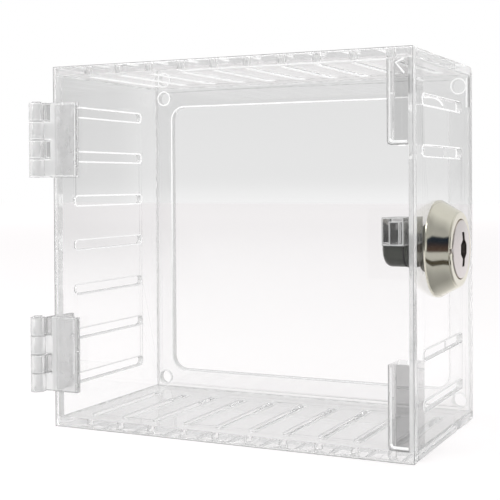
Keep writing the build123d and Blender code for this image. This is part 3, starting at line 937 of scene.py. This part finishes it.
@dataclass
class EdgeTracer:
    """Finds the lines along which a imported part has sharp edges."""

    nodes: Nodes

    def lines(self, name: str, inset: float, wanted: Callable[[Vector, Vector], bool]) -> list[Chain]:
        """Gives the sharp edges of a node as chains of points, just inside its surface.

        Args:
            name: The node.
            inset: How far the points move in from both faces.
            wanted: Called with the two faces' normals; says if the edge is used.

        Returns:
            The chains.
        """
        mesh = bmesh.new()
        mesh.from_mesh(self.nodes[name].data)
        bmesh.ops.remove_doubles(mesh, verts=mesh.verts, dist=RIM_WELD)
        mesh.normal_update()
        shift: dict[int, list[Vector]] = {}
        kept = []
        for edge in mesh.edges:
            if len(edge.link_faces) != 2:
                continue
            first, second = (face.normal for face in edge.link_faces)
            if first.angle(second, 0.0) < SHARP_EDGE or not wanted(first, second):
                continue
            kept.append(edge)
            for vertex in edge.verts:
                normals = shift.setdefault(vertex.index, [])
                for normal in (first, second):
                    if all(normal.dot(other) < SAME_WAY for other in normals):
                        normals.append(normal.copy())
        mesh.verts.ensure_lookup_table()
        place = {
            index: (mesh.verts[index].co - inset * sum(normals, Vector())).freeze()
            for index, normals in shift.items()
        }
        pairs = [(place[edge.verts[0].index], place[edge.verts[1].index]) for edge in kept]
        mesh.free()
        return self.joined(pairs)

    @staticmethod
    def joined(pairs: list[tuple[Vector, Vector]]) -> list[Chain]:
        """Joins pairs of points into chains.

        Args:
            pairs: The ends of each edge.

        Returns:
            The chains. One that closes has the same point at both ends.
        """
        links: dict = {}
        for first, second in pairs:
            links.setdefault(tuple(first), []).append(tuple(second))
            links.setdefault(tuple(second), []).append(tuple(first))
        used: set = set()
        found = []
        for start in sorted(links, key=lambda point: (len(links[point]) == 2, point)):
            for step in links[start]:
                if frozenset((start, step)) in used:
                    continue
                chain = [start, step]
                used.add(frozenset((start, step)))
                while len(links[chain[-1]]) == 2:
                    onward = [end for end in links[chain[-1]] if frozenset((chain[-1], end)) not in used]
                    if not onward:
                        break
                    used.add(frozenset((chain[-1], onward[0])))
                    chain.append(onward[0])
                found.append([Vector(point) for point in chain])
        return found

    @staticmethod
    def reach(chain: Chain) -> float:
        """Gives how far a chain gets from its first point."""
        return max((point - chain[0]).length for point in chain)


@dataclass
class PanelLips:
    """Painted highlights along the rims of the slots, the holes and the window: rounded beads just inside
    their corners.
    """

    tracer: EdgeTracer
    inward: dict[str, Place] = field(default_factory=lambda: {
        "top_panel": (0, 0, -1),
        "bottom_panel": (0, 0, 1),
        "left_panel": (1, 0, 0),
        "right_panel": (-1, 0, 0),
        "back_panel": (0, -1, 0),
    })
    bead: float = 0.32 * MM
    upright_depth: float = 0.6 * MM

    def build(self, finish: Material) -> None:
        """Builds the beads of every panel that shows them.

        Args:
            finish: The material of the painted edge highlight.
        """
        # A fainter painted highlight for the window's right upright.
        faint = PaintedLightBead("faint_edge", white=0.88, glow=(0.10, 0.20), clear=0.60).material()
        for name, inward in self.inward.items():
            rims = self.inner_rims(name, Vector(inward))
            if name == "back_panel":
                far, rims[0] = self.split_window(rims[0])
                Bead("back_window_far_lip", [far], self.bead).lay(faint, "case")
            Bead(f"{name}_lips", rims, self.bead).lay(finish, "case")

    def inner_rims(self, name: str, inward: Vector) -> list[Chain]:
        """Gives the rims of every opening on the inner face of a panel.

        Args:
            name: The panel's node.
            inward: The way that its inner face looks.

        Returns:
            The chains, the longest first, without the panel's own outline.
        """
        def between_face_and_cut(first: Vector, second: Vector) -> bool:
            """Tells if an edge lies between the inner face and a cut."""
            return max(first.dot(inward), second.dot(inward)) > BROAD_FACE

        rims = self.tracer.lines(name, self.bead, between_face_and_cut)
        return sorted(rims, key=self.tracer.reach, reverse=True)[1:]

    def split_window(self, rim: Chain) -> tuple[Chain, Chain]:
        """Cuts the rim of the window into its right upright, which shows less, and the rest.

        Args:
            rim: The closed chain of the rim.

        Returns:
            The upright and the rest, which share their ends.
        """
        points = rim[:-1]
        limit = max(point.x for point in points) - self.upright_depth
        after = points[1:] + points[:1]
        start = next(i for i, point in enumerate(points) if point.x <= limit < after[i].x)
        turned = points[start + 1:] + points[:start + 1]
        count = next(i for i, point in enumerate(turned) if point.x <= limit)
        return turned[:count], turned[count - 1:] + turned[:1]


@dataclass
class SolidLips:
    """A painted highlight and a painted shade line along every edge of the catch and of the hinge leaves."""

    tracer: EdgeTracer
    catch: str = "door_catch"
    leaves: tuple[tuple[str, str], ...] = (("wall_leaf", "case"), ("door_leaf", "door"))
    bead: float = 0.13 * MM
    inset: float = 0.34 * MM
    outline: float = 0.10 * MM
    smallest_ring: float = 3.0 * MM

    def build(self, finish: Material) -> None:
        """Builds the lines of every solid that shows them.

        Args:
            finish: The material of the painted edge highlight.
        """
        # The painted shade line, nearer the edge than the highlight.
        dark = PaintedLightBead("dark_edge", white=0.50, glow=(0.05, 0.08), clear=0.2, grain=300.0, spread=0.2)
        outline = dark.material()
        solids = [(self.catch, "door", "clear_acrylic")]
        for piece, body in self.leaves:
            solids += [(f"{side}_hinge_{piece}", body, "hinge_plastic") for side in ("upper", "lower")]
        for name, body, slot in solids:
            for part, inset, radius, look in (
                ("lips", self.inset, self.bead, finish),
                ("outline", self.outline, self.outline, outline),
            ):
                lines = self.tracer.lines(name, inset, lambda first, second: True)
                lines = [line for line in lines if self.tracer.reach(line) > self.smallest_ring]
                Bead(f"{name}_{part}", lines, radius).lay(look, body, slot)


@dataclass
class StopBlockLines:
    """Painted highlights along the lips and painted shade along the outlines of the two stop blocks, and a
    painted glint at the head of the upper one.
    """

    # Painted light: the glow of each block's lips, brighter on the lower block.
    glows: tuple[tuple[str, float], ...] = (("upper_stop_block", 0.62), ("lower_stop_block", 1.15))
    soft_share: float = 0.8
    lip_inset: float = 1.15 * MM
    foot_lip: float = 0.50 * MM
    side_lip: float = 0.28 * MM
    outline: float = 0.16 * MM
    outline_inset: float = 0.25 * MM
    skin: float = 0.05 * MM
    turn: float = 1.2 * MM
    turn_cut: float = 0.3
    glint: float = 0.36 * MM
    glint_line: Stops = ((0.80, 0.985), (0.42, 0.945), (0.82, 0.82))

    def build(self) -> None:
        """Lays the painted highlight and shade lines down the free edge and round the foot of each block, and
        the painted glint.
        """
        # Painted shade: the dark outline round each block.
        dark = PaintedLightBead("block_outline", white=0.42, glow=(0.05, 0.05), clear=0.25).material()
        for name, glow in self.glows:
            soft_glow = glow * self.soft_share
            bright = PaintedLightBead(f"{name}_white", white=0.95, glow=(glow, glow), clear=0.05).material()
            soft = PaintedLightBead(f"{name}_soft", white=0.95, glow=(soft_glow, soft_glow), clear=0.15).material()
            side, foot = self.block_line(name, self.lip_inset, self.foot_lip)
            Bead(f"{name}_foot_lip", [foot], self.foot_lip).lay(bright, "case")
            Bead(f"{name}_side_lip", [side], self.side_lip).lay(soft, "case")
            side, foot = self.block_line(name, self.outline_inset, self.outline)
            Bead(f"{name}_outline", [side + foot[1:]], self.outline).lay(dark, "case")
        self.build_glint()

    def block_line(self, name: str, inset: float, radius: float) -> tuple[Chain, Chain]:
        """Gives the line down the free edge of a stop block and the line round its foot.

        Args:
            name: The block's node.
            inset: How far inside the block's outline the lines run.
            radius: The radius of the bead that is laid there.

        Returns:
            The points of the two lines.
        """
        low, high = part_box(name)
        left, foot, top = low[0] + inset, low[2] + inset, high[2] - inset
        depth = low[1] + radius + self.skin
        corner = self.turn * self.turn_cut
        side = [(left, top), (left, foot + self.turn)]
        below = [(left, foot + self.turn), (left + corner, foot + corner), (left + self.turn, foot),
                 (high[0] - radius, foot)]
        return tuple([Vector((x, depth, z)) for x, z in line] for line in (side, below))

    def build_glint(self) -> None:
        """Lays the painted glint at the head of the upper block, on shares of its width and height."""
        low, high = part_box("upper_stop_block")
        depth = low[1] + self.glint + self.skin
        width, height = high[0] - low[0], high[2] - low[2]
        line = [Vector((low[0] + across * width, depth, low[2] + up * height))
                for across, up in self.glint_line]
        # Painted glint: a white glowing bead at the head of the upper block.
        white = PaintedLightBead("painted_glint", white=0.95, glow=(0.75, 0.75), clear=0.05).material()
        Bead("upper_stop_block_glint", [line], self.glint).lay(white, "case")


@dataclass
class BondSeams:
    """The cement lines in the inner corners of the case, with a painted glow, and a painted shadow line and a
    painted highlight line in the upper back corner of the lock's side.
    """

    seam: float = 0.22 * MM
    inset: float = 0.176 * MM
    run: Pair = (1.0 * MM, 13.0 * MM)
    shadow: float = 0.55 * MM
    shadow_inset: Pair = (2.3 * MM, 2.4 * MM)
    bright: float = 0.28 * MM
    bright_inset: Pair = (3.9 * MM, 0.8 * MM)

    def build(self) -> None:
        """Lays the lines of the inner corners, and two more in the upper back corner of the lock's side: a
        painted shadow line and a painted highlight line.
        """
        # The cement lines are real; their glow is painted light.
        cement = PaintedLightBead("bond_cement", white=0.88, glow=(0.20, 0.40), clear=0.35,
                             grain=260.0, spread=0.45)
        left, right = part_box("left_panel")[1][0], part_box("right_panel")[0][0]
        foot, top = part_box("bottom_panel")[1][2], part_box("top_panel")[0][2]
        front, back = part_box("left_panel")[0][1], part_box("back_panel")[0][1]
        inset = self.inset
        corners = rectangle((left + inset, foot + inset), (right - inset, top - inset))
        chains = [[Vector((x, front + inset, z)), Vector((x, back - inset, z))] for x, z in corners]
        chains.append([Vector((x, back - inset, z)) for x, z in corners + corners[:1]])
        Bead("case_bond_seams", chains, self.seam).lay(cement.material(), "case")

        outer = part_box("right_panel")[1]
        # A painted shadow line and a painted highlight line, both in the corner.
        shadow = PaintedLightBead("seam_shadow", white=0.04, glow=(0.0, 0.01), clear=0.02, spread=0.02)
        bright = PaintedLightBead("corner_painted_highlight", white=0.95, glow=(0.5, 0.7), clear=0.1)
        for name, (aside, ahead), look, radius in (
            ("corner_shadow_seam", self.shadow_inset, shadow, self.shadow),
            ("corner_highlight_line", self.bright_inset, bright, self.bright),
        ):
            line = [Vector((outer[0] - aside, outer[1] - ahead, top - down)) for down in self.run]
            Bead(name, [line], radius).lay(look.material(), "case")


@dataclass
class DoorOutline:
    """A thin grey line of painted shade round the door's outer face."""

    bead: float = 0.13 * MM
    skin: float = 0.02 * MM

    def build(self) -> None:
        """Lays the outline."""
        look = PaintedLightBead("door_outline", white=0.36, glow=(0.03, 0.05), clear=0.12,
                           grain=300.0, spread=0.20)
        low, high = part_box("door_panel")
        inset = self.bead + self.skin
        corners = rectangle((low[0] + inset, low[2] + inset), (high[0] - inset, high[2] - inset))
        line = [Vector((x, low[1] + inset, z)) for x, z in corners + corners[:1]]
        Bead("door_outline", [line], self.bead).lay(look.material(), "door")


@dataclass
class LockRings:
    """The bright rim at the foot of the bezel, whose lighter nickel is painted highlight, a black ring of
    painted shadow for the groove of the cam's cap, and a painted highlight round the cap's edge.
    """

    rim: float = 0.42 * MM
    groove: float = 0.50 * MM
    groove_depth: float = 0.35 * MM
    groove_from_wall: float = 1.6 * MM
    cap_highlight: float = 0.18 * MM
    cap_highlight_inset: float = 0.75 * MM
    cap_highlight_from_end: float = 0.9 * MM
    steps: int = 96

    def build(self) -> None:
        """Lays the three rings."""
        # Painted highlight, in part: a real rolled rim, in a nickel lighter than the bezel's.
        rim = Metal("rim_highlight_nickel", (0.86, 0.84, 0.76), (0.90, 0.88, 0.80), 0.22)
        # Painted shadow: a black ring for the groove of the cap.
        dark = Metal("groove_shadow", grey(0.004), grey(0.008), 0.7, metallic=0.0, specular=0.0)
        # Painted highlight: a lighter zinc ring round the cap's edge.
        cap_highlight_metal = Metal("cap_highlight_zinc", (0.42, 0.42, 0.40), (0.30, 0.30, 0.29), 0.35)
        centre, radius, start, end = self.round_part("lock_bezel")
        centre.x = start + self.rim
        self.ring("bezel_rim", centre, radius - self.rim, self.rim, rim, ("case", "satin_nickel"))
        centre, radius, start, end = self.round_part("cam_cap")
        on_cap = ("lock_core", "dark_zinc")
        centre.x = end - self.groove_from_wall
        self.ring("cap_groove", centre, radius - self.groove_depth, self.groove, dark, on_cap)
        centre.x = start + self.cap_highlight_from_end
        self.ring("cap_edge_highlight", centre, radius - self.cap_highlight_inset, self.cap_highlight, cap_highlight_metal, on_cap)

    @staticmethod
    def round_part(name: str) -> tuple[Vector, float, float, float]:
        """Gives a round node's middle and radius, and where along the axis it starts and ends."""
        low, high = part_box(name)
        return (Vector(low) + Vector(high)) / 2, (high[2] - low[2]) / 2, low[0], high[0]

    def ring(self, name: str, centre: Vector, radius: float, bead: float,
             metal: Metal, place: tuple[str, str]) -> None:
        """Lays a ring round the lock's axis.

        Args:
            name: The piece's name.
            centre: The middle of the ring.
            radius: The ring's radius.
            bead: The radius of its bead.
            metal: Its finish.
            place: The body that it moves with, and a second name that is passed on to lay.
        """
        turns = [math.tau * step / self.steps for step in range(self.steps)]
        chain = [centre + Vector((0, math.cos(turn), math.sin(turn))) * radius for turn in turns]
        Bead(name, [chain + chain[:1]], bead).lay(metal.material(), *place)


def main() -> None:
    """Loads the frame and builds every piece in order."""
    logging.basicConfig(level=logging.INFO)
    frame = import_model()
    scene = bpy.context.scene
    scene.view_settings.view_transform = "Standard"
    for kind in ("max", "transmission", "glossy", "transparent_max"):
        setattr(scene.cycles, f"{kind}_bounces", LIGHT_BOUNCES)
    Studio().build()
    AcrylicShell(frame["nodes"]).dress()
    tracer = EdgeTracer(frame["nodes"])
    # The painted highlight that the rims of openings, the catch and the hinge leaves are traced in.
    edge_highlight = PaintedLightBead("painted_edge_highlight").material()
    PanelLips(tracer).build(edge_highlight)
    SolidLips(tracer).build(edge_highlight)
    StopBlockLines().build()
    BondSeams().build()
    DoorOutline().build()
    LockRings().build()
    CamLock(frame["nodes"]).dress()


if __name__ == "__main__":
    main()
